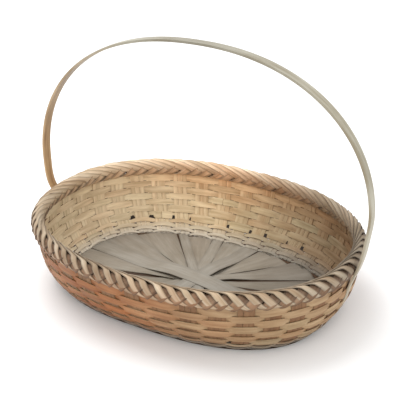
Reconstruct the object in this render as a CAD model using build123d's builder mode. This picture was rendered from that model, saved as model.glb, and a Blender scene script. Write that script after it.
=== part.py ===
"""Oval winnowing basket of split bamboo with one bent strip for a handle.

Frame: origin under the middle of the floor, on the surface the basket stands on.
+X runs along the basket's length, +Y across it, +Z up. Millimetres.

The twelve base splints cross at the hub and turn up at the floor's edge as the
36 stakes of the wall. Eleven weft rows go round them, over one and under one.
The stakes end inside the border plait, which is worked round a hoop.
"""

import os
from math import cos, hypot, pi, radians, sin, sqrt

from build123d import *

# The oval, at the floor's edge and at the middle of the border
FLOOR_HALF_LENGTH = 168.0
FLOOR_HALF_WIDTH = 117.0
FLOOR_SQUARENESS = 2.65
RIM_HALF_LENGTH = 200.0
RIM_HALF_WIDTH = 158.5
RIM_SQUARENESS = 2.2
RIM_HEIGHT = 83.0
END_FLARE = 3.0
SIDE_FLARE = 2.2

# Base splints and the stakes that they become
STAKE_COUNT = 36
STAKE_WIDTH = 18.0
SPLINT_THICKNESS = 0.7
LAYER_STEP = 0.76
HUB_RADIUS = 45.0
RAMP_END_RADIUS = 85.0
RAMP_OVERLAP = 5.0
PLATE_OVERLAP = 1.0
WAIST_SHARE = 1.08
STAKE_TOP = 80.0
STAKES_PER_SPLINT = (1, 2) * 6

# Weft rows
THIN_ROWS = 4
WIDE_ROWS = 7
LOWEST_WEFT = 1.0
THIN_ROWS_TOP = 16.0
WIDE_ROWS_TOP = 72.0
THIN_ROW_GROWTH = 1.25
WEFT_THICKNESS = 0.8
WEAVE_CLEARANCE = 0.15
ROW_GAP = 0.3
TURN_MARGIN = 0.8

# Border plait and the hoop inside it
BORDER_HALF_WIDTH = 7.1
BORDER_HALF_HEIGHT = 9.75
HOOP_WIDTH = 4.0
HOOP_BOTTOM = 82.3
HOOP_TOP = 89.3
HOOP_CLEARANCE = 0.3
SLOT_WIDTH = 3.2
SLOT_BOTTOM = 72.0

# Handle strip
HANDLE_WIDTH = 12.5
HANDLE_THICKNESS = 3.0
HANDLE_HALF_SPAN = 224.0
HANDLE_SPRING_HEIGHT = 129.0
HANDLE_RISE = 180.0
HANDLE_FULLNESS = 0.9
BORDER_CROSSING = 212.5
LEG_THICKNESS = 1.4
LEG_TIP_HEIGHT = 18.5
LEG_TOP_HEIGHT = 60.0
LEG_SLANT = 0.3
ARCH_FIRST_DEGREES = 12
ARCH_STEP_DEGREES = 6
ARCH_TOP_DEGREES = 90

# Fineness of the worked-out curves
ANGLE_STEP = 0.01
HEIGHT_STEP = 0.5
DIVISION_STEPS = 3600
RIM_POINTS = 48

WEFT_OFFSET = SPLINT_THICKNESS / 2 + WEAVE_CLEARANCE + WEFT_THICKNESS / 2


def unit(x, y):
    """The plan vector x, y at length one."""
    size = hypot(x, y)
    return Vector(x / size, y / size, 0)


def ring_radius(angle, z):
    """Distance from the axis to the middle of the wall, at a direction and a height."""
    drop = 1 - min(z, RIM_HEIGHT) / RIM_HEIGHT
    ends = 1 - drop**END_FLARE
    sides = 1 - drop**SIDE_FLARE
    length = FLOOR_HALF_LENGTH + (RIM_HALF_LENGTH - FLOOR_HALF_LENGTH) * ends
    width = FLOOR_HALF_WIDTH + (RIM_HALF_WIDTH - FLOOR_HALF_WIDTH) * sides
    power = FLOOR_SQUARENESS + (RIM_SQUARENESS - FLOOR_SQUARENESS) * sides
    total = abs(cos(angle) / length) ** power + abs(sin(angle) / width) ** power
    return total ** (-1 / power)


def ring_point(angle, z):
    """A point of the wall's middle surface."""
    radius = ring_radius(angle, z)
    return Vector(radius * cos(angle), radius * sin(angle), z)


def ring_tangent(angle, z):
    """The horizontal direction along the wall, anticlockwise."""
    step = ring_point(angle + ANGLE_STEP, z) - ring_point(angle - ANGLE_STEP, z)
    return unit(step.X, step.Y)


def ring_normal(angle, z):
    """The horizontal direction straight out of the wall."""
    tangent = ring_tangent(angle, z)
    return Vector(tangent.Y, -tangent.X, 0)


def lean(angle, z):
    """How many times a thickness grows when it is measured level, because the wall slopes."""
    slope = (ring_radius(angle, z + HEIGHT_STEP) - ring_radius(angle, z)) / HEIGHT_STEP
    return sqrt(1 + slope**2)


def even_directions(count, z):
    """Directions that divide the oval at height z into pieces of equal length."""
    turns = [2 * pi * i / DIVISION_STEPS for i in range(DIVISION_STEPS + 1)]
    points = [ring_point(turn, z) for turn in turns]
    lengths = [0.0]
    for before, after in zip(points, points[1:]):
        lengths.append(lengths[-1] + (after - before).length)
    directions = []
    for k in range(count):
        goal = lengths[-1] * k / count
        index = next(i for i, length in enumerate(lengths) if length >= goal)
        directions.append(turns[index])
    return directions


def row_edges():
    """Heights between the weft rows, from the floor up."""
    edges = []
    for k in range(THIN_ROWS):
        share = (k / THIN_ROWS) ** THIN_ROW_GROWTH
        edges.append(LOWEST_WEFT + (THIN_ROWS_TOP - LOWEST_WEFT) * share)
    for k in range(WIDE_ROWS + 1):
        edges.append(THIN_ROWS_TOP + (WIDE_ROWS_TOP - THIN_ROWS_TOP) * k / WIDE_ROWS)
    return edges


STAKES = even_directions(STAKE_COUNT, RIM_HEIGHT / 3)
EDGES = row_edges()


def stake_plane(stake, z):
    """A level plane centred on a stake, its X axis along the wall."""
    angle = STAKES[stake % STAKE_COUNT]
    return Plane(origin=ring_point(angle, z), x_dir=ring_tangent(angle, z), z_dir=(0, 0, 1))


def make_splint(first_stake, stakes, layer):
    """One splint: up the wall, across the hub on its own layer, and up the far wall."""
    members = [first_stake + k for k in range(stakes)]
    start = STAKES[members[0]]
    end = STAKES[members[-1]]
    middle = (start + end) / 2
    run = unit(cos(middle), sin(middle))
    across = Vector(-run.Y, run.X, 0)
    spread = (end - start + STAKE_WIDTH / ring_radius(middle, 0)) * WAIST_SHARE
    ramp_width = spread * RAMP_END_RADIUS
    waist = spread * HUB_RADIUS
    hub_height = layer * LAYER_STEP + SPLINT_THICKNESS / 2
    low = SPLINT_THICKNESS / 2
    flat_end = RAMP_END_RADIUS + RAMP_OVERLAP
    stations = [
        (-flat_end, low, ramp_width),
        (-RAMP_END_RADIUS, low, ramp_width),
        (-HUB_RADIUS, hub_height, waist),
        (HUB_RADIUS, hub_height, waist),
        (RAMP_END_RADIUS, low, ramp_width),
        (flat_end, low, ramp_width),
    ]
    with BuildPart() as splint:
        for distance, height, width in stations:
            centre = run * distance + Vector(0, 0, height)
            with BuildSketch(Plane(origin=centre, x_dir=across, z_dir=run)):
                Rectangle(width, SPLINT_THICKNESS)
        loft(ruled=True)
        for side, turn in ((1, 0), (-1, STAKE_COUNT // 2)):
            feet = [stake_plane(member + turn, 0) for member in members]
            right = feet[0].from_local_coords((-STAKE_WIDTH / 2, 0, 0))
            left = feet[-1].from_local_coords((STAKE_WIDTH / 2, 0, 0))
            near = run * (side * (RAMP_END_RADIUS + PLATE_OVERLAP))
            half = across * (side * ramp_width / 2)
            with BuildSketch(Plane.XY):
                with BuildLine():
                    Polyline(near - half, right, left, near + half, close=True)
                make_face()
            extrude(amount=SPLINT_THICKNESS)
            for member in members:
                angle = STAKES[(member + turn) % STAKE_COUNT]
                for z in [0.0] + EDGES + [STAKE_TOP]:
                    with BuildSketch(stake_plane(member + turn, z)):
                        Rectangle(STAKE_WIDTH, SPLINT_THICKNESS * lean(angle, z))
                loft(ruled=True)
    return splint.part


def weft_outline(row, z, face):
    """The closed outline of one face of a weft: face is +1 for outside and -1 for inside."""
    corners = []
    reach = STAKE_WIDTH / 2 + TURN_MARGIN
    for stake, angle in enumerate(STAKES):
        outside = (stake + row) % 2 == 0
        offset = WEFT_OFFSET if outside else -WEFT_OFFSET
        over_leg = stake % (STAKE_COUNT // 2) == 0 and EDGES[row + 1] > LEG_TIP_HEIGHT
        if outside and over_leg:
            offset += LEG_THICKNESS + WEAVE_CLEARANCE
        level = (offset + face * WEFT_THICKNESS / 2) * lean(angle, z)
        centre = ring_point(angle, z) + ring_normal(angle, z) * level
        tangent = ring_tangent(angle, z)
        corners.append(centre - tangent * reach)
        corners.append(centre + tangent * reach)
    return corners


def make_weft(row):
    """One weft row: a flat splint that goes over one stake and under the next, all round."""
    low = EDGES[row] + ROW_GAP / 2
    high = EDGES[row + 1] - ROW_GAP / 2
    with BuildPart() as weft:
        for face, mode in ((1, Mode.ADD), (-1, Mode.SUBTRACT)):
            for z in (low, high):
                with BuildSketch(Plane.XY.offset(z)):
                    with BuildLine():
                        Polyline(*[(p.X, p.Y) for p in weft_outline(row, z, face)], close=True)
                    make_face()
            loft(ruled=True, mode=mode)
    return weft.part


def rim_points(offset):
    """Points of the rim's oval, moved out by an offset, in the XY plane."""
    points = []
    for k in range(RIM_POINTS):
        angle = 2 * pi * k / RIM_POINTS
        point = ring_point(angle, RIM_HEIGHT) + ring_normal(angle, RIM_HEIGHT) * offset
        points.append((point.X, point.Y))
    return points


def rim_band(width, z):
    """A flat oval band along the rim, at a height."""
    with BuildSketch(Plane.XY.offset(z)) as band:
        for offset, mode in ((width / 2, Mode.ADD), (-width / 2, Mode.SUBTRACT)):
            with BuildLine():
                Spline(*rim_points(offset), periodic=True)
            make_face(mode=mode)
    return band.sketch


def make_border():
    """The plaited roll, hollow where the hoop and the ends of the stakes lie."""
    start = ring_point(0, RIM_HEIGHT)
    with BuildPart() as border:
        with BuildLine(Plane.XY.offset(RIM_HEIGHT)) as rim_line:
            Spline(*rim_points(0), periodic=True)
        with BuildSketch(Plane(origin=start, x_dir=(1, 0, 0), z_dir=(0, 1, 0))):
            Ellipse(BORDER_HALF_WIDTH, BORDER_HALF_HEIGHT)
        sweep(path=rim_line.wire())
        slot = rim_band(SLOT_WIDTH, SLOT_BOTTOM)
        extrude(slot, amount=HOOP_BOTTOM - SLOT_BOTTOM, mode=Mode.SUBTRACT)
        cavity = rim_band(HOOP_WIDTH + 2 * HOOP_CLEARANCE, HOOP_BOTTOM - HOOP_CLEARANCE)
        extrude(cavity, amount=HOOP_TOP - HOOP_BOTTOM + 2 * HOOP_CLEARANCE, mode=Mode.SUBTRACT)
    return border.part


def make_hoop():
    """The stiff hoop of split bamboo inside the border."""
    with BuildPart() as hoop:
        extrude(rim_band(HOOP_WIDTH, HOOP_BOTTOM), amount=HOOP_TOP - HOOP_BOTTOM)
    return hoop.part


def leg_middle(z):
    """Distance from the axis to the middle of a handle leg inside the weave."""
    gap = SPLINT_THICKNESS / 2 + WEAVE_CLEARANCE / 2 + LEG_THICKNESS / 2
    return ring_radius(0, z) + gap * lean(0, z)


def make_handle():
    """The strip: an arch over the basket, its two legs outside the border and down the wall."""
    wall = [LEG_TIP_HEIGHT] + [z for z in EDGES if LEG_TIP_HEIGHT < z < LEG_TOP_HEIGHT]
    inner = []
    outer = []
    for z in wall:
        half = LEG_THICKNESS / 2 * lean(0, z)
        inner.append((leg_middle(z) - half, z))
        outer.append((leg_middle(z) + half, z))
    arch_half = HANDLE_THICKNESS / 2
    inner_arch = [(BORDER_CROSSING - arch_half, RIM_HEIGHT)]
    outer_arch = [(BORDER_CROSSING + arch_half, RIM_HEIGHT)]
    for degrees in range(ARCH_FIRST_DEGREES, ARCH_TOP_DEGREES + 1, ARCH_STEP_DEGREES):
        turn = radians(degrees)
        for points, half in ((inner_arch, -arch_half), (outer_arch, arch_half)):
            x = (HANDLE_HALF_SPAN + half) * max(cos(turn), 0.0) ** HANDLE_FULLNESS
            z = HANDLE_SPRING_HEIGHT + (HANDLE_RISE + half) * sin(turn) ** HANDLE_FULLNESS
            points.append((x, z))
    with BuildPart() as handle:
        with BuildSketch(Plane.XZ):
            with BuildLine():
                for side in (1, -1):
                    for leg, arch in ((inner, inner_arch), (outer, outer_arch)):
                        Polyline(*[(side * x, z) for x, z in leg + arch[:1]])
                        bend = [(side * x, z) for x, z in arch]
                        Spline(*bend, tangents=[(side * LEG_SLANT, 1), (-side, 0)])
                    tip_inner, tip_outer = [(side * x, z) for x, z in (inner[0], outer[0])]
                    Line(tip_inner, tip_outer)
            make_face()
        extrude(amount=HANDLE_WIDTH / 2, both=True)
    return handle.part


def save(part, name):
    """Writes one labelled piece."""
    part.label = name
    export_step(part, f"parts/{name}.step")


os.makedirs("parts", exist_ok=True)

next_stake = 0
for number, stakes in enumerate(STAKES_PER_SPLINT, start=1):
    save(make_splint(next_stake, stakes, number - 1), f"base_splint_{number:02d}")
    next_stake += stakes

for row in range(THIN_ROWS + WIDE_ROWS):
    save(make_weft(row), f"weft_row_{row + 1:02d}")

save(make_border(), "border_plait")
save(make_hoop(), "rim_core_hoop")
save(make_handle(), "handle_strip")
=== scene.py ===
"""Looks of the oval bamboo basket: every splint, weft and border strand as its own strip.

All shapes are worked out in millimetres, in the CAD frame, and become metres in Bundle.build.
Directions round the basket are angles from the +X end, towards +Y.
"""

import math

import bpy
import numpy as np
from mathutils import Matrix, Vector


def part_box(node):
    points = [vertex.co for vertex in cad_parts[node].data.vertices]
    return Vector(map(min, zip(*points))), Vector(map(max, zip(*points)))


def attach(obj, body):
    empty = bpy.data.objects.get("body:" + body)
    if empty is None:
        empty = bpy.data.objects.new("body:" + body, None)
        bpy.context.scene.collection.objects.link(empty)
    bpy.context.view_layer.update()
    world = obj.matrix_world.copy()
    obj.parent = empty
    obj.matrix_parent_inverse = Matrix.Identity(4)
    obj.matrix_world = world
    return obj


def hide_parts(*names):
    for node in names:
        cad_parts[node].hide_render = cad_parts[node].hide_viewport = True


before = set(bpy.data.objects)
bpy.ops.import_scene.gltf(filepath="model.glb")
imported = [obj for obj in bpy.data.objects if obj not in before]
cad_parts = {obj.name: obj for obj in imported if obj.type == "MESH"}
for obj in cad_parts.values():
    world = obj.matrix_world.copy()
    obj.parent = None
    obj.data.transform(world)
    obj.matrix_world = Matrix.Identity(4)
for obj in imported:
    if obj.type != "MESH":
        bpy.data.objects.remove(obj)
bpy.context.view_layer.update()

MM = 0.001
FULL_TURN = 2 * math.pi
UP = np.array([0.0, 0.0, 1.0])
RNG = np.random.default_rng(7)

# ---------------------------------------------------------------- sizes from the frame, in mm


def box_mm(node):
    """A CAD node's lowest and highest corners."""
    low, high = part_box(node)
    return np.array(low) / MM, np.array(high) / MM


border_low, border_high = box_mm("border_plait")
handle_low, handle_high = box_mm("handle_strip")

BORDER_HALF_WIDTH = 7.1
BORDER_HALF_HEIGHT = (border_high[2] - border_low[2]) / 2
RIM_HEIGHT = (border_high[2] + border_low[2]) / 2
RIM_HALF_LENGTH = border_high[0] - BORDER_HALF_WIDTH
RIM_HALF_WIDTH = border_high[1] - BORDER_HALF_WIDTH
RIM_SQUARENESS = 2.25
FLOOR_HALF_LENGTH = 171.0
FLOOR_HALF_WIDTH = 117.0
FLOOR_SQUARENESS = 2.6
END_FLARE = 3.3
SIDE_FLARE = 2.15

# Hand-made unevenness: the border dips at the right end and rises at the back
END_TILT = -4.0
SIDE_TILT = 2.2
SADDLE = 0.4

STAKES = 36
STAKE_WIDTH = 18.5
SPLINT_THICKNESS = 0.8
SKEW = math.radians(4.5)

WEFT_NODES = sorted(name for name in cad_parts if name.startswith("weft_row_"))
SPLINT_NODES = sorted(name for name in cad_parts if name.startswith("base_splint_"))
THIN_ROWS = 4

# Fineness of the worked-out curves
ROUND_SAMPLES = 7201
WOBBLE_DIRECTIONS = np.linspace(0, FULL_TURN, 721)
SLOPE_ANGLE = 0.004
SLOPE_HEIGHT = 0.4


# ---------------------------------------------------------------- the basket's surface


def flare(height):
    """How far the wall has opened, along the length and across, at a height."""
    drop = 1 - np.clip(height, 0, RIM_HEIGHT) / RIM_HEIGHT
    return 1 - drop**END_FLARE, 1 - drop**SIDE_FLARE


def wall_radius(angle, height):
    """Distance from the axis to the middle of the wall."""
    ends, sides = flare(height)
    length = FLOOR_HALF_LENGTH + (RIM_HALF_LENGTH - FLOOR_HALF_LENGTH) * ends
    width = FLOOR_HALF_WIDTH + (RIM_HALF_WIDTH - FLOOR_HALF_WIDTH) * sides
    power = FLOOR_SQUARENESS + (RIM_SQUARENESS - FLOOR_SQUARENESS) * sides
    total = np.abs(np.cos(angle) / length) ** power + np.abs(np.sin(angle) / width) ** power
    return total ** (-1 / power)


def wall_point(angle, height):
    """Points of the wall's middle surface."""
    radius = wall_radius(angle, height)
    x = radius * np.cos(angle)
    y = radius * np.sin(angle)
    return np.stack([x, y, height + 0 * radius], axis=-1)


def unit(vectors):
    """The same directions at length one."""
    return vectors / np.maximum(np.linalg.norm(vectors, axis=-1, keepdims=True), 1e-9)


def wall_out(angle, height):
    """Directions straight out of the wall."""
    along = wall_point(angle + SLOPE_ANGLE, height) - wall_point(angle - SLOPE_ANGLE, height)
    up = wall_point(angle, height + SLOPE_HEIGHT) - wall_point(angle, height)
    return unit(np.cross(along, up))


def settle(points):
    """Gives the level weave the basket's hand-made tilt and saddle."""
    share = np.clip(points[:, 2], 0, None) / RIM_HEIGHT
    angle = np.arctan2(points[:, 1], points[:, 0])
    lift = END_TILT * np.cos(angle) + SIDE_TILT * np.sin(angle) + SADDLE * np.cos(2 * angle)
    moved = points.copy()
    moved[:, 2] += lift * np.minimum(share, 1)
    return moved


def path_lengths(points):
    """The length of a path up to each of its points."""
    steps = np.linalg.norm(np.diff(points, axis=0), axis=1)
    return np.concatenate([[0], np.cumsum(steps)])


def lengths_round(height):
    """Directions round the wall at a height, and the length met on the way to each."""
    angles = np.linspace(0, FULL_TURN, ROUND_SAMPLES)
    return angles, path_lengths(wall_point(angles, height))


def even_directions():
    """Stake directions, evenly spaced round the lower wall and turned a little by hand."""
    angles, lengths = lengths_round(RIM_HEIGHT / 3)
    even = np.interp(np.arange(STAKES) / STAKES * lengths[-1], lengths, angles)
    return even + SKEW * np.abs(np.sin(even))


STAKE_ANGLES = even_directions()


def stake_count(angle):
    """Which stake an angle is at, as a real number that grows by one from stake to stake."""
    turns = np.floor(angle / FULL_TURN)
    rest = angle - turns * FULL_TURN
    knots = np.concatenate([STAKE_ANGLES[-1:] - FULL_TURN, STAKE_ANGLES, STAKE_ANGLES[:1] + FULL_TURN])
    numbers = np.arange(-1, STAKES + 1)
    return np.interp(rest, knots, numbers) + turns * STAKES


def row_edges():
    """Heights between the weft rows, read from the CAD rows."""
    edges = [box_mm(WEFT_NODES[0])[0][2]]
    for lower, upper in zip(WEFT_NODES, WEFT_NODES[1:]):
        edges.append((box_mm(lower)[1][2] + box_mm(upper)[0][2]) / 2)
    edges.append(box_mm(WEFT_NODES[-1])[1][2])
    return np.array(edges)


EDGES = row_edges()
TUCK_INTO_BORDER = 5.5
EDGES[-1] += TUCK_INTO_BORDER
THIN_ROW_STEADINESS = 0.25


def wobble(angle, size, waves=9, first=1):
    """A smooth random wave round the basket, of about the given size."""
    total = np.zeros_like(angle, dtype=float)
    for wave in range(first, first + waves):
        total += RNG.normal() * np.cos(wave * angle + RNG.uniform(0, FULL_TURN))
    return total * size / math.sqrt(waves)


EDGE_WOBBLES = []
for _ in EDGES:
    fine = wobble(WOBBLE_DIRECTIONS, 0.28, waves=14, first=4)
    coarse = wobble(WOBBLE_DIRECTIONS, 0.45, waves=4)
    EDGE_WOBBLES.append(fine + coarse)


def edge_height(number, angle):
    """Height of the line between two rows, with its hand-made waviness."""
    waviness = np.interp(angle % FULL_TURN, WOBBLE_DIRECTIONS, EDGE_WOBBLES[number])
    if number < THIN_ROWS:
        waviness = waviness * THIN_ROW_STEADINESS
    return EDGES[number] + waviness


# ---------------------------------------------------------------- strips

LOWEST = 0.02
FOOT_REACH = 2.5
GRAIN_SEEDS = 100
GRAIN_UNIT = 10
INNER_CROWN = 0.4


def upward(count):
    """Straight up, once for each point of a path."""
    return np.tile(UP, (count, 1))


def section(crown=0.0):
    """Outline of a split of bamboo: across and up, each from -1 to 1, crowned on its outer face."""
    across = [-1.0, -0.55, 0.0, 0.55, 1.0]
    top = [(a, 1.0 + crown * (1 - a * a)) for a in across]
    bottom = [(a, -1.0 - crown * INNER_CROWN * (1 - a * a)) for a in reversed(across)]
    return np.array(top + bottom)


def tube_faces(start, rings, size):
    """Faces of a closed tube of rings of points, numbered from start: its sides, then its two ends."""
    faces = []
    for i in range(rings - 1):
        low = start + i * size
        high = low + size
        for j in range(size):
            k = (j + 1) % size
            faces.append((low + j, high + j, high + k, low + k))
    last = start + (rings - 1) * size
    faces.append(tuple(start + j for j in range(size)))
    faces.append(tuple(last + j for j in reversed(range(size))))
    return faces


class Bundle:
    """Collects strips that share an object, with their grain, tone and warmth."""

    def __init__(self):
        self.points = []
        self.faces = []
        self.grain = []
        self.tone = []
        self.warm = []
        self.aged = []
        self.corner = []
        self.count = 0

    def strip(self, path, out, width, thickness, outline, tone=1.0, warm=0.5, aged=0.0,
              back=(1.0, 0.0), edge=1.0):
        """Adds one strip along a path, with an outline across it. Numbers may change along the path.

        out is the direction that the broad face looks in. back is what the other face's tone is
        multiplied by, and what is added to its warmth. edge is what the edges' tone is multiplied by.
        """
        number = len(path)
        size = len(outline)
        width, thickness, tone, warm, aged, back_tone, back_warm = [
            np.broadcast_to(value, number)[:, None]
            for value in (width, thickness, tone, warm, aged, *back)
        ]
        tangent = unit(np.gradient(path, axis=0))
        side = unit(np.cross(out, tangent))
        up = np.cross(tangent, side)
        across = outline[:, 0] * width / 2
        raised = outline[:, 1] * thickness / 2
        sideways = side[:, None, :] * across[..., None]
        upwards = up[:, None, :] * raised[..., None]
        self.points.append((path[:, None, :] + sideways + upwards).reshape(-1, 3))
        self.faces += tube_faces(self.count, number, size)
        self.count += number * size

        length = np.repeat(path_lengths(path)[:, None], size, 1)
        seed = np.full(across.shape, RNG.uniform(0, GRAIN_SEEDS))
        self.grain.append(np.stack([length, across, seed], axis=-1).reshape(-1, 3))
        behind = outline[:, 1] < 0
        at_edge = np.abs(outline[:, 0]) == 1
        tone = tone * np.where(at_edge, edge, 1.0) * np.where(behind, back_tone, 1.0)
        self.tone.append(tone.ravel())
        self.warm.append((warm + np.where(behind, back_warm, 0.0)).ravel())
        self.aged.append(np.repeat(aged, size))
        self.corner.append(np.tile(np.where(at_edge, np.arange(size), -1), number))

    def trim_to_floor(self):
        """Cuts strips off where they would stick out past the foot of the wall."""
        for points in self.points:
            angle = np.arctan2(points[:, 1], points[:, 0])
            reach = np.hypot(points[:, 0], points[:, 1])
            inside = np.minimum(1, (wall_radius(angle, 0 * angle) + FOOT_REACH) / np.maximum(reach, 1))
            points[:, :2] *= inside[:, None]

    def build(self, name, material, slot, nodes, settled=True):
        """Makes the object, in metres, and ties it to the frame."""
        points = np.concatenate(self.points)
        if settled:
            points = settle(points)
        points[:, 2] = np.maximum(points[:, 2], LOWEST)
        mesh = bpy.data.meshes.new(name)
        mesh.from_pydata((points * MM).tolist(), [], self.faces)
        grain = mesh.attributes.new("grain", "FLOAT_VECTOR", "POINT")
        places = np.concatenate(self.grain) * MM * GRAIN_UNIT
        grain.data.foreach_set("vector", places.astype(np.float32).ravel())
        for label, values in (("tone", self.tone), ("warm", self.warm), ("aged", self.aged)):
            layer = mesh.attributes.new(label, "FLOAT", "POINT")
            layer.data.foreach_set("value", np.concatenate(values).astype(np.float32))
        mesh.polygons.foreach_set("use_smooth", [True] * len(mesh.polygons))
        ends = np.zeros(len(mesh.edges) * 2, dtype=np.int32)
        mesh.edges.foreach_get("vertices", ends)
        corner = np.concatenate(self.corner)[ends.reshape(-1, 2)]
        crisp = mesh.attributes.new("sharp_edge", "BOOLEAN", "EDGE")
        crisp.data.foreach_set("value", (corner[:, 0] >= 0) & (corner[:, 0] == corner[:, 1]))
        mesh.materials.append(material)
        mesh.validate()
        piece = bpy.data.objects.new(name, mesh)
        bpy.context.collection.objects.link(piece)
        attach(piece, "root")
        if nodes:
            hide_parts(*nodes)
        return piece


# ---------------------------------------------------------------- materials

# Fineness of the noise along the strip, across it, and from strip to strip
FIBRE_SCALE = (6.0, 130.0, 3.0)
BAND_SCALE = (2.2, 22.0, 3.0)
BLOTCH_SCALE = 22.0
WHITE = (1, 1, 1)
STREAK_COLOUR = (0.72, 0.67, 0.6)
BLOTCH_COLOUR = (0.8, 0.77, 0.72)
BLOTCH_AMOUNT = 0.6
SHINE = 0.35
SMOOTHER = 0.1
ROUGHER = 0.15
RELIEF_DEPTH = 0.0004


class Shading:
    """A material's node tree, with short ways to add the nodes that bamboo needs."""

    def __init__(self, name):
        self.material = bpy.data.materials.new(name)
        self.material.use_nodes = True
        self.tree = self.material.node_tree
        self.tree.nodes.clear()

    def node(self, kind, links=(), settings=(), **values):
        """A node with its attributes, the links into it by input, and the constants on its inputs."""
        made = self.tree.nodes.new(kind)
        for key, value in values.items():
            setattr(made, key, value)
        for socket, source in dict(links).items():
            self.tree.links.new(source, made.inputs[socket])
        for socket, value in dict(settings).items():
            made.inputs[socket].default_value = value
        return made

    def attribute(self, label, output="Fac"):
        """A value that the mesh carries."""
        return self.node("ShaderNodeAttribute", attribute_name=label).outputs[output]

    def noise(self, place, stretch=None, **settings):
        """Noise at a place, which is first stretched if that is asked for."""
        if stretch is not None:
            place = self.node("ShaderNodeMapping", {"Vector": place}, {"Scale": stretch}).outputs[0]
        return self.node("ShaderNodeTexNoise", {"Vector": place}, settings).outputs["Fac"]

    def ramp(self, source, *stops):
        """A colour picked by a value, from stops of a position and a colour."""
        made = self.node("ShaderNodeValToRGB", {0: source})
        elements = made.color_ramp.elements
        while len(elements) < len(stops):
            elements.new(0.5)
        for element, (at, colour) in zip(elements, stops):
            element.position = at
            element.color = (*colour, 1)
        return made.outputs[0]

    def mix(self, kind, amount, first, second):
        """Two colours mixed by an amount, which is a number or a node's output."""
        made = self.node("ShaderNodeMix", data_type="RGBA", blend_type=kind)
        if isinstance(amount, (int, float)):
            made.inputs[0].default_value = amount
        else:
            self.tree.links.new(amount, made.inputs[0])
        self.tree.links.new(first, made.inputs[6])
        self.tree.links.new(second, made.inputs[7])
        return made.outputs[2]


def bamboo(name, pale, mid, dark, warm_pale, warm_dark, roughness=0.6, relief=0.35, streak=0.4):
    """Split bamboo: fibres along the strip, blotches of age, and a tone and warmth of its own."""
    shading = Shading(name)
    grain = shading.attribute("grain", "Vector")
    fibre = shading.noise(grain, FIBRE_SCALE, Scale=1.0, Detail=3.0, Roughness=0.6)
    band = shading.noise(grain, BAND_SCALE, Scale=1.0, Detail=2.0)
    place = shading.node("ShaderNodeTexCoord").outputs["Object"]
    blotch = shading.noise(place, Scale=BLOTCH_SCALE, Detail=4.0)

    cool = shading.ramp(band, (0.3, dark), (0.5, mid), (0.72, pale))
    hot = shading.ramp(band, (0.32, warm_dark), (0.7, warm_pale))
    old = shading.ramp(band, (0.3, AGED_DARK), (0.7, AGED_PALE))
    streaks = shading.ramp(fibre, (0.32, STREAK_COLOUR), (0.5, WHITE))
    blotches = shading.ramp(blotch, (0.34, BLOTCH_COLOUR), (0.55, WHITE))
    colour = shading.mix("MIX", shading.attribute("warm"), cool, hot)
    colour = shading.mix("MIX", shading.attribute("aged"), colour, old)
    colour = shading.mix("MULTIPLY", streak, colour, streaks)
    colour = shading.mix("MULTIPLY", BLOTCH_AMOUNT, colour, blotches)
    toned = shading.node(
        "ShaderNodeVectorMath", {0: colour, "Scale": shading.attribute("tone")}, operation="SCALE"
    )
    rough = shading.node(
        "ShaderNodeMapRange", {"Value": band},
        {"To Min": roughness - SMOOTHER, "To Max": roughness + ROUGHER},
    )
    bump = shading.node(
        "ShaderNodeBump", {"Height": fibre}, {"Strength": relief, "Distance": RELIEF_DEPTH}
    )
    surface = shading.node(
        "ShaderNodeBsdfPrincipled",
        {"Base Color": toned.outputs[0], "Roughness": rough.outputs[0], "Normal": bump.outputs[0]},
        {"Specular IOR Level": SHINE},
    )
    shading.node("ShaderNodeOutputMaterial", {0: surface.outputs[0]})
    return shading.material


def srgb(red, green, blue):
    """A colour given as 0-255 screen values, as linear light."""
    return tuple((value / 255) ** 2.2 for value in (red, green, blue))


AGED_PALE = srgb(181, 175, 163)
AGED_DARK = srgb(166, 158, 145)
WEAVE_BAMBOO = bamboo(
    "weave_bamboo",
    pale=srgb(208, 190, 154), mid=srgb(194, 173, 136), dark=srgb(172, 150, 112),
    warm_pale=srgb(211, 135, 77), warm_dark=srgb(175, 99, 50),
)
BORDER_BAMBOO = bamboo(
    "border_bamboo",
    pale=srgb(206, 194, 172), mid=srgb(190, 172, 146), dark=srgb(158, 136, 108),
    warm_pale=srgb(208, 164, 128), warm_dark=srgb(158, 114, 80), relief=0.5, streak=0.6,
)
HANDLE_BAMBOO = bamboo(
    "handle_bamboo",
    pale=srgb(198, 196, 180), mid=srgb(184, 180, 162), dark=srgb(164, 156, 134),
    warm_pale=srgb(208, 170, 124), warm_dark=srgb(160, 120, 78), roughness=0.45, relief=0.2,
)


# ---------------------------------------------------------------- wall

SPLIT_COUNT = 3
OUTER_OVERLAP = 2.2
ARCH_RISE = 0.9
ROW_GAP = 0.9
TOP_ROW_INSET = 0.3
WEFT_CROWN = 0.2
WEFT_STEPS_PER_STAKE = 26
# How sharply a row swings past a stake, how far out and in it goes, and its thickness
THIN_WEFT = (0.9, 1.5, 0.9)
WIDE_WEFT = (2.8, 1.05, 0.8)
# A row's two ends meet at a stake that changes from row to row
FIRST_SEAM = 5
SEAM_STEP = 11
SEAM_HALF_GAP = 0.0008

# Small daylight holes along the edge over the thin rows, by where they are in stakes
HOLE_EDGE = THIN_ROWS
HOLE_STAKES = (5.5, 6.55, 7.5, 8.45, 9.5, 11.45, 12.5, 13.45, 14.5, 24.5, 30.5)
HOLE_HALF_WIDTH = 0.13
HOLE_SLOPE = 0.02
HOLE_DEPTH = 3.4

# Stakes
STAKE_FOOT = 1.2
STAKE_SWAY = 0.12
STAKE_STEPS = 60
SPLIT_THICKNESS = 0.65
SPLIT_GAP = 0.12
SPLIT_FAN = 0.25
SPLIT_FAN_FROM = 20
# The stakes' outer faces are dark: painted shade of the recesses behind the wefts
STAKE_RECESS_SHADE_TONE = 0.4
STAKE_OUTER_WARM = 0.6
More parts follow.
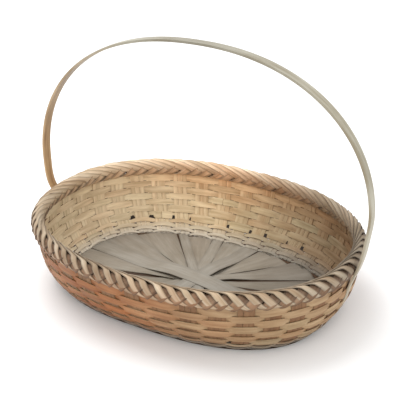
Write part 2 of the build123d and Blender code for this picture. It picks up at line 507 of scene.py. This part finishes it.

# Dark strips in the cracks between rows and where the floor meets the wall: painted shadow
SHADOW_STRIP_STEPS_PER_STAKE = 12
SHADOW_STRIP_THICKNESS = 0.3
THIN_SHADOW_STRIP_WIDTH = 1.5
WIDE_SHADOW_STRIP_WIDTH = 1.0
HOLE_SHADOW_STRIP_SHARE = 1.4
SHADOW_STRIP_TONE = 0.12
SHADOW_STRIP_WARM = 0.6
HOLE_SHADE_DROP = 0.09
FOOT_SHADOW_STRIP_WIDTH = 7.0
FOOT_SHADOW_STRIP_HEIGHT = 0.3
FOOT_SHADOW_STRIP_TONE = 0.14
RING_GAP = 0.001

# Painted light and shade met going round the basket, as degrees from the +X end and a tone
INNER_WALL_PAINTED_LIGHT = (
    (0, 0.34), (20, 0.32), (45, 0.44), (75, 0.7), (95, 0.98), (110, 1.18),
    (140, 1.38), (170, 1.38), (230, 1.2), (300, 0.72), (360, 0.34),
)
# The border's tones are painted light and shade: bright at the back, dark at the right end
BORDER_PAINTED_LIGHT = (
    (0, 0.5), (15, 0.47), (45, 0.62), (75, 0.94), (105, 1.62), (140, 1.55),
    (180, 1.2), (215, 0.76), (255, 0.76), (300, 1.0), (335, 0.8), (360, 0.5),
)
AGEING_HEIGHT = 17


def from_table(at, table):
    """Values between those of a table of places and values."""
    places, values = np.array(table).T
    return np.interp(at, places, values)


def round_the_oval(angle, tones):
    """A tone at each direction, from a list like those above."""
    return from_table(np.degrees(angle) % 360, tones)


def swing(angle, row, hardness):
    """+1 where a row passes outside a stake, -1 where it passes inside."""
    wave = np.cos(math.pi * (stake_count(angle) + row))
    return np.tanh(hardness * wave) / math.tanh(hardness)


def facing_share(angle, degrees, sharpness=1.0):
    """How nearly a direction matches one given in degrees, from 0 to 1."""
    return np.clip(np.cos(angle - math.radians(degrees)), 0, 1) ** sharpness


def wall_painted_light_and_warmth(angle, height):
    """Outer tone, inner tone, outer warmth and inner warmth of the wall. The tones are painted light and
    shade: inside, bright at the back and the left end, brightest high at the back, dark at the right end;
    outside, darker all round and a little lighter at the front right.
    """
    share = np.clip(height / RIM_HEIGHT, 0, 1)
    left = facing_share(angle, 235, 1.5)
    right = facing_share(angle, 8, 3)
    back = facing_share(angle, 100, 1.5)
    outer_tone = 0.62 - 0.02 * left + 0.1 * facing_share(angle, 330, 2)
    outer_warm = 0.8 + 0.2 * left - 0.52 * facing_share(angle, 332, 2)
    inner_tone = round_the_oval(angle, INNER_WALL_PAINTED_LIGHT) * (1 + 0.95 * back * share**3)
    inner_warm = 0.04 + 0.55 * facing_share(angle, 95, 2) * share**2 + 0.36 * right
    return outer_tone, inner_tone, outer_warm, inner_warm


def ageing(angle, height):
    """Greyness of the weave: full on the floor, gone a little way up, and a little at the left end."""
    return np.clip(1.0 - height / AGEING_HEIGHT, 0.3 * facing_share(angle, 185, 1.5), 1)


def notch(angle):
    """How far the row edge over the thin rows has parted, where daylight shows as small holes."""
    count = stake_count(angle)
    total = np.zeros_like(count)
    for hole in HOLE_STAKES:
        distance = np.abs(count - hole)
        total = np.maximum(total, 1 - np.clip((distance - HOLE_HALF_WIDTH) / HOLE_SLOPE, 0, 1))
    return total * HOLE_DEPTH


def make_weft(row, node):
    """One weft row: a flat split that goes over one stake and under the next."""
    thin = row < THIN_ROWS
    hardness, lift, thickness = THIN_WEFT if thin else WIDE_WEFT
    start = STAKE_ANGLES[(row * SEAM_STEP + FIRST_SEAM) % STAKES]
    angle = start + np.linspace(SEAM_HALF_GAP, FULL_TURN - SEAM_HALF_GAP, STAKES * WEFT_STEPS_PER_STAKE)
    wave = swing(angle, row, hardness)
    arch = -ARCH_RISE * wave if thin else 0
    low = edge_height(row, angle) + arch
    high = edge_height(row + 1, angle) + arch
    if row == HOLE_EDGE:
        low = low + notch(angle)
    height = (low + high) / 2
    out = wall_out(angle, height)
    up = wall_point(angle, high) - wall_point(angle, low)
    width = np.linalg.norm(up, axis=1) - ROW_GAP
    if not thin:
        width = width + ROW_GAP + OUTER_OVERLAP * np.clip(wave, 0, 1)
    path = wall_point(angle, height) + out * (wave * lift)[:, None]
    if row == len(WEFT_NODES) - 1:
        path = path - out * TOP_ROW_INSET
    # The tones carry the wall's painted light and shade: the outer face's here, and the inner face's
    # through back.
    outer_tone, inner_tone, outer_warm, inner_warm = wall_painted_light_and_warmth(angle, height)
    drift = 1 + RNG.normal() * 0.035 + wobble(angle, 0.05, waves=10, first=3)
    tint = RNG.normal() * 0.05 + wobble(angle, 0.07, waves=8, first=2)
    bundle = Bundle()
    bundle.strip(
        path, out, width, thickness, section(WEFT_CROWN),
        tone=outer_tone * drift, warm=outer_warm + tint, aged=ageing(angle, height),
        back=(inner_tone / outer_tone, inner_warm - outer_warm),
    )
    return bundle.build(f"weft_{row + 1:02d}", WEAVE_BAMBOO, "weft", [node])


def make_stake(bundle, stake):
    """One stake, already split lengthwise for the border, up the wall between the wefts."""
    angle = STAKE_ANGLES[stake]
    heights = np.linspace(STAKE_FOOT, RIM_HEIGHT - 1, STAKE_STEPS)
    row = np.interp(heights, (EDGES[:-1] + EDGES[1:]) / 2, np.arange(len(EDGES) - 1))
    push = -STAKE_SWAY * np.cos(math.pi * (stake + row))
    for split in range(SPLIT_COUNT):
        share = (split - (SPLIT_COUNT - 1) / 2) / SPLIT_COUNT
        fan = np.interp(heights, [0, SPLIT_FAN_FROM, RIM_HEIGHT], [0, 0, 1])
        sideways = share * STAKE_WIDTH + fan * RNG.normal() * SPLIT_FAN
        directions = angle + sideways / wall_radius(angle, heights)
        out = wall_out(directions, heights)
        level = push + RNG.normal() * 0.04
        path = wall_point(directions, heights) + out * level[:, None]
        # The inner face takes the wall's painted light and shade; the outer face's tone is painted shade
        # of its recess
        _, inner_tone, _, inner_warm = wall_painted_light_and_warmth(directions, heights)
        outer_tone = STAKE_RECESS_SHADE_TONE + RNG.normal() * 0.02
        tone = inner_tone * (0.99 + RNG.normal() * 0.02)
        warm = np.clip(inner_warm + RNG.normal() * 0.03, 0, 1)
        width = STAKE_WIDTH / SPLIT_COUNT - SPLIT_GAP + RNG.normal() * 0.05
        bundle.strip(
            path, out, width, SPLIT_THICKNESS, section(0.15),
            tone=outer_tone, warm=STAKE_OUTER_WARM, aged=ageing(directions, heights),
            back=(tone / outer_tone, warm - STAKE_OUTER_WARM),
        )


def make_foot_shadow_strip(bundle):
    """A dark strip lying flat where the floor meets the wall: painted shadow in the corner."""
    angle = np.linspace(0, FULL_TURN - RING_GAP, STAKES * SHADOW_STRIP_STEPS_PER_STAKE)
    path = wall_point(angle, 0 * angle) + FOOT_SHADOW_STRIP_HEIGHT * UP
    bundle.strip(
        path, upward(len(path)), FOOT_SHADOW_STRIP_WIDTH, SHADOW_STRIP_THICKNESS, section(),
        tone=FOOT_SHADOW_STRIP_TONE, warm=SHADOW_STRIP_WARM,
    )


def make_shadow_strip(bundle, edge):
    """The narrow dark strip that fills the crack between two weft rows: painted shadow, wider and darker
    behind the holes.
    """
    angle = np.linspace(0, FULL_TURN - RING_GAP, STAKES * SHADOW_STRIP_STEPS_PER_STAKE)
    parted = notch(angle) if edge == HOLE_EDGE else 0 * angle
    height = edge_height(edge, angle) + parted / 2
    width = THIN_SHADOW_STRIP_WIDTH if edge <= THIN_ROWS else WIDE_SHADOW_STRIP_WIDTH
    bundle.strip(
        wall_point(angle, height), wall_out(angle, height),
        width + parted * HOLE_SHADOW_STRIP_SHARE, SHADOW_STRIP_THICKNESS, section(),
        tone=SHADOW_STRIP_TONE - HOLE_SHADE_DROP * parted / HOLE_DEPTH, warm=SHADOW_STRIP_WARM,
    )


# ---------------------------------------------------------------- floor

HUB = np.array([-3.0, 5.0])
# Each base splint: the stakes it ends in, its width at the hub and at the wall, and its layer
SPLINTS = (
    ((0, 1), 16.0, 50.0, 4),
    ((2, 3), 13.0, 53.0, 0),
    ((4, 5), 13.0, 53.0, 5),
    ((6, 7), 15.0, 51.0, 2),
    ((8,), 21.0, 22.0, 10),
    ((9,), 12.0, 34.0, 6),
    ((10,), 15.0, 15.5, 8),
    ((11,), 11.0, 35.0, 1),
    ((12,), 12.5, 13.0, 9),
    ((13, 14), 13.0, 57.0, 3),
    ((15, 16), 14.0, 50.0, 7),
    ((17,), 27.0, 28.0, 11),
)
LAYER_STEP = 0.62
SPREAD_CURVE = 1.2
ARM_STEPS = 50
# Height of the lowest layer at the hub, and where and over how far the arms come down from it
HUB_LEVEL = 0.5
FALL_FROM = 26
FALL_LENGTH = 60
# Height of the arms on the floor: the upper layers lie on the others
REST_LEVEL = 0.62
UPPER_LAYERS_FROM = 8
UPPER_REST = 0.5
LAYER_REST = 0.035
SPLINT_CROWN = 0.25
# Splint edges are darkened: painted shade along each edge
SPLINT_EDGE_TONE = 0.85
WARMING_DISTANCE = 170

# Dark strips under the slits between arms: painted shadow seen through the slits
UNDER_STEPS = 12
UNDER_FROM = 0.1
UNDER_LEVEL = 0.14
UNDER_THICKNESS = 0.16
UNDER_SHARE = 0.8
UNDER_WIDTHS = (3, 26)
UNDER_TONE = 0.1
UNDER_WARM = 0.6


def splint_end(stakes, turn):
    """The direction in which a splint meets the wall."""
    members = [STAKE_ANGLES[(stake + turn) % STAKES] for stake in stakes]
    return np.mean(np.unwrap(members))


def wall_foot(direction):
    """Where the wall meets the floor in a direction, on the plan."""
    return wall_point(np.array([direction]), np.array([0.0]))[0][:2]


def splint_arm(end, waist, spread, layer):
    """One arm of a splint, from the hub out: path points, widths, and distances from the hub."""
    away = wall_foot(end) - HUB
    reach = np.hypot(*away) + FOOT_REACH
    distance = np.linspace(0, reach, ARM_STEPS)
    flat = HUB + away / np.hypot(*away) * distance[:, None]
    fall = np.clip((distance - FALL_FROM) / FALL_LENGTH, 0, 1)
    fall = fall * fall * (3 - 2 * fall)
    rest = REST_LEVEL + (UPPER_REST if layer >= UPPER_LAYERS_FROM else LAYER_REST * layer)
    hub_height = HUB_LEVEL + LAYER_STEP * layer
    height = hub_height + (rest - hub_height) * fall
    opened = spread * (distance / reach) ** SPREAD_CURVE
    return np.column_stack([flat, height]), np.maximum(waist, opened), distance


def splint_painted_light_and_colour(points, distance, layer):
    """Tone, warmth and greyness of a base splint. The tone is painted light and shade: darker to the
    right, a little lighter to the back, and lighter in upper layers.
    """
    rightward = np.clip(points[:, 0] / FLOOR_HALF_LENGTH, 0, 1)
    tone = 0.6 - 0.3 * rightward + 0.05 * points[:, 1] / FLOOR_HALF_WIDTH + RNG.normal() * 0.02
    tone = tone * (0.93 + 0.013 * layer)
    warm = np.clip(0.05 + RNG.normal() * 0.05 + 0.2 * (distance / WARMING_DISTANCE) ** 2, 0, 1)
    return tone, warm, 0.8 + 0.018 * layer


def make_splint(number):
    """One base splint: from the wall's foot through the hub to the far wall's foot."""
    stakes, waist, spread, layer = SPLINTS[number]
    near = splint_arm(splint_end(stakes, 0), waist, spread, layer)
    far = splint_arm(splint_end(stakes, STAKES // 2), waist, spread, layer)
    points, width, distance = [np.concatenate([b[::-1], a[1:]]) for a, b in zip(near, far)]
    width = width * (1 + 0.02 * np.sin(distance / 23 + number))
    tangent = unit(np.gradient(points, axis=0))
    out = upward(len(points))
    out = unit(out - tangent * (out * tangent).sum(1, keepdims=True))
    # The tone carries painted light and shade
    tone, warm, aged = splint_painted_light_and_colour(points, distance, layer)
    bundle = Bundle()
    bundle.strip(
        points, out, width, SPLINT_THICKNESS, section(SPLINT_CROWN), tone, warm, aged,
        edge=SPLINT_EDGE_TONE,
    )
    bundle.trim_to_floor()
    return bundle


def make_under_shadow_strips():
    """Thin dark strips under the slits between neighbouring arms: painted shadow seen through the slits.
    """
    bundle = Bundle()
    ends = [splint_end(splint[0], turn) for turn in (0, STAKES // 2) for splint in SPLINTS]
    ends = ends + [ends[0] + FULL_TURN]
    for before, after in zip(ends, ends[1:]):
        if after < before:
            after += FULL_TURN
        away = wall_foot((before + after) / 2) - HUB
        share = np.linspace(UNDER_FROM, 1.0, UNDER_STEPS)
        flat = HUB + away * share[:, None]
        path = np.column_stack([flat, np.full(len(share), UNDER_LEVEL)])
        reach = np.hypot(*away) * share
        width = np.clip(reach * (after - before) * UNDER_SHARE, *UNDER_WIDTHS)
        bundle.strip(path, upward(len(path)), width, UNDER_THICKNESS, section(), UNDER_TONE, UNDER_WARM)
    bundle.trim_to_floor()
    return bundle


# ---------------------------------------------------------------- border

STRANDS = 72
STRAND_WIDTH = 7.8
STRAND_THICKNESS = 1.1
STRAND_CROWN = 0.4
# Strand edges are darkened: painted shade in the crevices between strands
STRAND_EDGE_TONE = 0.6
STRAND_BACK = (0.8, 0.1)
PITCH = FULL_TURN / STRANDS
# Outer strands: turn about the roll in degrees, pitches along the rim, and distance from its middle
OUTER_PATH = (
    (200, 0.0, 0.82), (178, 0.5, 0.96), (158, 1.1, 1.03), (138, 1.8, 1.05),
    (119, 2.5, 1.05), (103, 3.15, 1.06), (89, 3.6, 1.06), (64, 3.88, 1.03),
    (30, 4.2, 1.02), (-6, 4.56, 1.02), (-42, 4.98, 0.93), (-72, 5.38, 0.72),
)
OUTER_STEPS = 56
# At places along the path above: share of the full width, and tilt of the broad face
OUTER_TAPER = ((0, 0.8), (1, 0.95), (4.4, 1.0), (6.2, 0.74), (7.2, 0.9), (8.6, 1.0), (11, 0.5))
OUTER_TILT = ((0, 0.24), (2, 0.32), (5, 0.28), (6, 0.04), (8, -0.12), (11, -0.08))
# Inner strands, of the other slant
INNER_PATH = (
    (262, 0.0, 0.80), (240, -0.3, 0.97), (212, -0.7, 1.0), (184, -1.1, 0.94), (158, -1.5, 0.84),
    (110, -2.0, 0.72), (70, -2.4, 0.7), (34, -2.75, 0.9), (-10, -3.15, 0.93), (-58, -3.6, 0.84),
)
INNER_STEPS = 48
INNER_START = 0.3
INNER_TILT = -0.14
# At places along that path: share of the full width, tone, and added warmth; the tone is painted shade,
# dark where the strand runs under the outer strands and low outside
INNER_TAPER = ((0, 1.1), (5, 1.1), (6.5, 1.55), (9, 1.5))
INNER_DIMMING = ((0, 1.05), (3, 1.0), (4, 0.6), (6.2, 0.26), (6.9, 0.4), (7.6, 0.78), (9, 0.56))
INNER_RUST = ((0, 0.15), (4, 0.3), (6, 0.75), (9, 0.6))
# The roll inside the plait
CORE_STEPS = 361
CORE_SIDES = 12
CORE_WIDTH = 1.1 * BORDER_HALF_WIDTH
CORE_HEIGHT = 1.15 * BORDER_HALF_HEIGHT
# The roll's dark tone is painted shade for the inside of the plait
CORE_TONE = 0.22
CORE_WARM = 0.5
CORE_GAP = 0.0005


def rim_table():
    """Angles evenly spaced by length round the rim."""
    angles, lengths = lengths_round(RIM_HEIGHT)
    return lengths / lengths[-1] * FULL_TURN, angles


RIM_SHARE, RIM_ANGLE = rim_table()


def rim_angle(share):
    """The direction of a place given by its share of the way round the rim."""
    turns = np.floor(share / FULL_TURN)
    return np.interp(share - turns * FULL_TURN, RIM_SHARE, RIM_ANGLE) + turns * FULL_TURN


def roll_surface(share, turn, size):
    """Points on the border's roll: share of the way round, turn about the roll (0 is out, pi/2 is up)."""
    angle = rim_angle(share)
    middle = wall_point(angle, RIM_HEIGHT + 0 * angle)
    out = wall_out(angle, RIM_HEIGHT + 0 * angle)
    out[:, 2] = 0
    out = unit(out)
    wide = BORDER_HALF_WIDTH * np.cos(turn) * size
    tall = BORDER_HALF_HEIGHT * np.sin(turn) * size
    points = middle + out * wide[:, None] + UP * tall[:, None]
    outwards = np.cos(turn) / BORDER_HALF_WIDTH
    upwards = np.sin(turn) / BORDER_HALF_HEIGHT
    return points, unit(out * outwards[:, None] + UP * upwards[:, None])


def follow(knots, values, steps):
    """A smooth curve through values at knots."""
    at = np.linspace(knots[0], knots[-1], steps)
    slopes = np.gradient(np.array(values, float), np.array(knots, float))
    result = np.zeros(steps)
    for i in range(len(knots) - 1):
        span = knots[i + 1] - knots[i]
        inside = (at >= knots[i]) & (at <= knots[i + 1])
        t = (at[inside] - knots[i]) / span
        result[inside] = (
            (2 * t**3 - 3 * t**2 + 1) * values[i]
            + (t**3 - 2 * t**2 + t) * span * slopes[i]
            + (-2 * t**3 + 3 * t**2) * values[i + 1]
            + (t**3 - t**2) * span * slopes[i + 1]
        )
    return result


def follow_strand(path, steps):
    """Turns, pitches along the rim, and sizes all along a strand, and its places on the path."""
    knots = np.arange(len(path))
    turn, along, size = [follow(knots, values, steps) for values in np.array(path).T]
    return turn, along, size, np.linspace(0, len(path) - 1, steps)


def strand_painted_light_and_warmth(path, turns):
    """Tone and warmth of border strands: the tone is painted light and shade round the rim and a little
    darker low outside, so pale on top; warm peach inside at the back, brown low outside.
    """
    angle = np.arctan2(path[:, 1], path[:, 0])
    outside = np.clip(np.cos(turns) * 0.8 - np.sin(turns) * 0.5, 0, 1)
    inside = np.clip(-np.cos(turns), 0, 1)
    warm = 0.12 + 0.42 * outside * facing_share(angle, 245) + 0.55 * inside * facing_share(angle, 95, 2)
    warm = warm + 0.1 * facing_share(angle, 265)
    tone = round_the_oval(angle, BORDER_PAINTED_LIGHT)
    return tone * (1 - 0.1 * outside), warm


def lay_strand(bundle, path, out, width, tone, warm):
    """Adds one strand of the border."""
    bundle.strip(
        path, out, width, STRAND_THICKNESS, section(STRAND_CROWN), tone, warm,
        back=STRAND_BACK, edge=STRAND_EDGE_TONE,
    )


def make_outer_strands():
    """Strands that come up inside, run along the top and dive down the outside."""
    bundle = Bundle()
    turn, along, size, place = follow_strand(OUTER_PATH, OUTER_STEPS)
    taper = from_table(place, OUTER_TAPER)
    tilt = from_table(place, OUTER_TILT)
    for strand in range(STRANDS):
        turns = np.radians(turn + RNG.normal() * 2.5)
        share = (strand + along + RNG.normal() * 0.05) * PITCH
        path, facing = roll_surface(share, turns, size + RNG.normal() * 0.012)
        side = unit(np.cross(facing, unit(np.gradient(path, axis=0))))
        out = unit(facing + side * tilt[:, None])
        width = STRAND_WIDTH * (1 + RNG.normal() * 0.06) * taper
        tone, warm = strand_painted_light_and_warmth(path, turns)
        tone = tone * (1 + RNG.normal() * 0.05)
        warm = np.clip(warm + RNG.normal() * 0.06, 0, 1)
        lay_strand(bundle, path, out, width, tone, warm)
    return bundle


def make_inner_strands():
    """Strands of the other slant, seen low inside and in the gaps outside."""
    bundle = Bundle()
    turn, along, size, place = follow_strand(INNER_PATH, INNER_STEPS)
    dimming = from_table(place, INNER_DIMMING)
    rust = from_table(place, INNER_RUST)
    width = STRAND_WIDTH * from_table(place, INNER_TAPER)
    for strand in range(STRANDS):
        turns = np.radians(turn + RNG.normal() * 3)
        share = (strand + INNER_START + along + RNG.normal() * 0.06) * PITCH
        path, facing = roll_surface(share, turns, size)
        side = unit(np.cross(facing, unit(np.gradient(path, axis=0))))
        out = unit(facing + side * INNER_TILT)
        tone, warm = strand_painted_light_and_warmth(path, turns)
        # dimming is painted shade along the strand
        tone = tone * dimming * (1 + RNG.normal() * 0.05)
        warm = np.clip(warm + rust + RNG.normal() * 0.08, 0, 1)
        lay_strand(bundle, path, out, width, tone, warm)
    return bundle


def make_rim_core():
    """The hoop and the folded stake ends inside the plait: a roll darkened with painted shade, seen only
    through its gaps.
    """
    share = np.linspace(0, FULL_TURN - CORE_GAP, CORE_STEPS)
    middle, _ = roll_surface(share, 0 * share, 0.0)
    around = np.linspace(0, FULL_TURN, CORE_SIDES, endpoint=False)
    outline = np.column_stack([np.cos(around), np.sin(around)])
    bundle = Bundle()
    bundle.strip(middle, upward(len(share)), CORE_WIDTH, CORE_HEIGHT, outline, CORE_TONE, CORE_WARM)
    return bundle


# ---------------------------------------------------------------- handle

HANDLE_WIDTH = handle_high[1] - handle_low[1]
HANDLE_THICKNESS = 2.9
HANDLE_CROWN = 0.15
HANDLE_TOP = handle_high[2] - HANDLE_THICKNESS / 2
HANDLE_SPRING = 129.5
HANDLE_HALF_SPAN = handle_high[0] + 1.5
HANDLE_FULLNESS = 0.9
HANDLE_SHIFT = -4.0
HANDLE_LEAN = 0.03
HANDLE_WANDER = 1.0
HANDLE_BACK = (0.92, 0.1)
HANDLE_STEPS = 300
ARCH_STEPS = 121
ARCH_DEGREES = (3, 177)
SMOOTHING_ROUNDS = 16
# The legs inside the weave: heights, and distance out from the wall's middle at the tip and the top
LEG_HEIGHTS = np.array([19.0, 26.0, 34.0, 42.0, 50.0, 58.0])
LEG_OUT = 1.25
LEG_OUT_GAIN = 0.9
BORDER_CLEARANCE = 3.0
# How far each leg bows out and sways past the border
RIGHT_BOW = (1.0, 0.0)
LEFT_BOW = (9.0, -3.0)
# By distance from the nearer tip: share of the full width, of the thickness, and added warmth
HANDLE_TAPER = ((0, 0.5), (15, 0.75), (70, 0.9), (130, 1.0))
HANDLE_THINNING = ((0, 0.45), (40, 0.6), (80, 0.9), (120, 1.0))
TIP_WARMTH = ((0, 1), (60, 0.5), (160, 0))
# By share of the way from the right tip to the left one: tone, and added warmth
HANDLE_TONES = ((0, 0.84), (0.3, 0.78), (0.5, 0.54), (0.7, 0.84), (1, 0.9))
LEFT_WARMTH = ((0.6, 0), (0.82, 1))


def handle_leg(side):
    """Knots of one leg, from its tip up past the border. side is 1 for the right and -1 for the left."""
    angle = 0.0 if side > 0 else math.pi
    gain = np.interp(LEG_HEIGHTS, LEG_HEIGHTS[[0, -1]], [0.0, LEG_OUT_GAIN])
    wall = wall_radius(angle, LEG_HEIGHTS) + LEG_OUT + gain
    lift = END_TILT * side * LEG_HEIGHTS / RIM_HEIGHT
    low = np.column_stack([side * wall, 0 * wall, LEG_HEIGHTS + lift])
    rim = RIM_HEIGHT + END_TILT * side
    edge = side * (RIM_HALF_LENGTH + BORDER_HALF_WIDTH + BORDER_CLEARANCE)
    bow, sway = RIGHT_BOW if side > 0 else LEFT_BOW
    over = [
        (edge - side * 3.4, 0, rim - 11),
        (edge + side * bow, sway, rim),
        (edge + side * (bow + 5), sway, rim + 18),
    ]
    return np.concatenate([low, over])


def handle_arch():
    """Knots of the arch over the basket, from right to left."""
    turn = np.radians(np.linspace(*ARCH_DEGREES, ARCH_STEPS))
    spread = np.sign(np.cos(turn)) * np.abs(np.cos(turn)) ** HANDLE_FULLNESS
    x = HANDLE_SHIFT + HANDLE_HALF_SPAN * spread
    z = HANDLE_SPRING + (HANDLE_TOP - HANDLE_SPRING) * np.sin(turn) ** HANDLE_FULLNESS
    return np.column_stack([x, HANDLE_LEAN * (z - RIM_HEIGHT), z])


def make_handle():
    """The bent strip, with its skin side out and its two legs tapering down outside the wall."""
    knots = np.concatenate([handle_leg(1), handle_arch(), handle_leg(-1)[::-1]])
    lengths = path_lengths(knots)
    at = np.linspace(0, lengths[-1], HANDLE_STEPS)
    path = np.column_stack([np.interp(at, lengths, knots[:, i]) for i in range(3)])
    for _ in range(SMOOTHING_ROUNDS):
        path[1:-1] = (path[:-2] + 2 * path[1:-1] + path[2:]) / 4
    leftward = at / lengths[-1]
    path[:, 1] += HANDLE_WANDER * np.sin(leftward * FULL_TURN)
    tangent = unit(np.gradient(path, axis=0))
    out = unit(np.cross(tangent, np.tile([0.0, 1.0, HANDLE_LEAN], (len(path), 1))))
    if out[len(out) // 2][2] < 0:
        out = -out
    end = np.minimum(at, lengths[-1] - at)
    width = HANDLE_WIDTH * from_table(end, HANDLE_TAPER) * (1 + 0.02 * np.sin(at / 37))
    thickness = HANDLE_THICKNESS * from_table(end, HANDLE_THINNING)
    warm = 0.06 + 0.3 * from_table(end, TIP_WARMTH) + 0.72 * from_table(leftward, LEFT_WARMTH)
    bundle = Bundle()
    bundle.strip(
        path, out, width, thickness, section(HANDLE_CROWN),
        tone=from_table(leftward, HANDLE_TONES), warm=np.clip(warm, 0, 1), back=HANDLE_BACK,
    )
    return bundle


# ---------------------------------------------------------------- assembly

for row, node in enumerate(WEFT_NODES):
    make_weft(row, node)

stakes = Bundle()
for stake in range(STAKES):
    make_stake(stakes, stake)
stakes.build("wall_stakes", WEAVE_BAMBOO, "base_splint", [])

# Dark strips of painted shadow between the rows and at the foot of the wall
shadow_strips = Bundle()
for edge in range(1, len(EDGES) - 1):
    make_shadow_strip(shadow_strips, edge)
make_foot_shadow_strip(shadow_strips)
shadow_strips.build("wall_shadow_strips", WEAVE_BAMBOO, "weft", [])
# Painted shadow under the floor's slits
make_under_shadow_strips().build("floor_under_shadow_strips", WEAVE_BAMBOO, "base_splint", [], settled=False)

for number, node in enumerate(SPLINT_NODES):
    splint = make_splint(number)
    splint.build(f"floor_{node[5:]}", WEAVE_BAMBOO, "base_splint", [node], settled=False)

make_outer_strands().build("border_outer_strands", BORDER_BAMBOO, "border", ["border_plait"])
make_inner_strands().build("border_inner_strands", BORDER_BAMBOO, "border", [])
make_rim_core().build("rim_core", WEAVE_BAMBOO, "hoop", ["rim_core_hoop"])
make_handle().build("handle", HANDLE_BAMBOO, "handle", ["handle_strip"], settled=False)


# ---------------------------------------------------------------- stage, light and camera, in metres

STAGE_REACH = 6.0
STAGE_COLOUR = (0.9, 0.9, 0.9, 1)
STAGE_ROUGHNESS = 0.9
STAGE_SHINE = 0.1
# Each lamp: its name, its place, its size and its power
LAMPS = (
    ("key", (-0.7, 0.1, 1.7), 1.2, 18),
    ("fill", (0.9, -1.2, 1.3), 1.5, 5),
)
LAMP_AIM = Vector((0, 0, 0.05))
WORLD_STRENGTH = 1.1
CAMERA_AZIMUTH = math.radians(30.54)
CAMERA_ELEVATION = math.radians(24.41)
CAMERA_PLACE = (0.5143, -0.8618, 0.5722)
CAMERA_LENS = 82.1
CAMERA_SENSOR = 36.0
CAMERA_NEAR = 0.01


def make_stage():
    """A plain pale floor."""
    mesh = bpy.data.meshes.new("stage_floor")
    corners = [(STAGE_REACH * x, STAGE_REACH * y, 0) for x, y in ((-1, -1), (1, -1), (1, 1), (-1, 1))]
    mesh.from_pydata(corners, [], [(0, 1, 2, 3)])
    floor = bpy.data.objects.new("stage_floor", mesh)
    bpy.context.collection.objects.link(floor)
    material = bpy.data.materials.new("stage_floor")
    material.use_nodes = True
    shader = material.node_tree.nodes["Principled BSDF"]
    shader.inputs["Base Color"].default_value = STAGE_COLOUR
    shader.inputs["Roughness"].default_value = STAGE_ROUGHNESS
    shader.inputs["Specular IOR Level"].default_value = STAGE_SHINE
    mesh.materials.append(material)


def make_light(name, place, size, power):
    """A soft square lamp, aimed at the basket."""
    data = bpy.data.lights.new(name, "AREA")
    data.shape = "SQUARE"
    data.size = size
    data.energy = power
    lamp = bpy.data.objects.new(name, data)
    lamp.location = place
    lamp.rotation_euler = (LAMP_AIM - Vector(place)).to_track_quat("-Z", "Y").to_euler()
    bpy.context.collection.objects.link(lamp)


def make_world():
    """Even white light from all round."""
    world = bpy.data.worlds.new("studio")
    world.use_nodes = True
    background = world.node_tree.nodes["Background"]
    background.inputs["Color"].default_value = (*WHITE, 1)
    background.inputs["Strength"].default_value = WORLD_STRENGTH
    bpy.context.scene.world = world


def make_camera():
    """The camera, level, from the front right and above."""
    back = Vector((
        math.sin(CAMERA_AZIMUTH) * math.cos(CAMERA_ELEVATION),
        -math.cos(CAMERA_AZIMUTH) * math.cos(CAMERA_ELEVATION),
        math.sin(CAMERA_ELEVATION),
    ))
    data = bpy.data.cameras.new("camera")
    data.lens = CAMERA_LENS
    data.sensor_width = CAMERA_SENSOR
    data.clip_start = CAMERA_NEAR
    camera = bpy.data.objects.new("camera", data)
    camera.location = CAMERA_PLACE
    camera.rotation_euler = (-back).to_track_quat("-Z", "Y").to_euler()
    bpy.context.collection.objects.link(camera)
    bpy.context.scene.camera = camera


make_stage()
for lamp in LAMPS:
    make_light(*lamp)
make_camera()
make_world()
bpy.context.scene.view_settings.view_transform = "Standard"
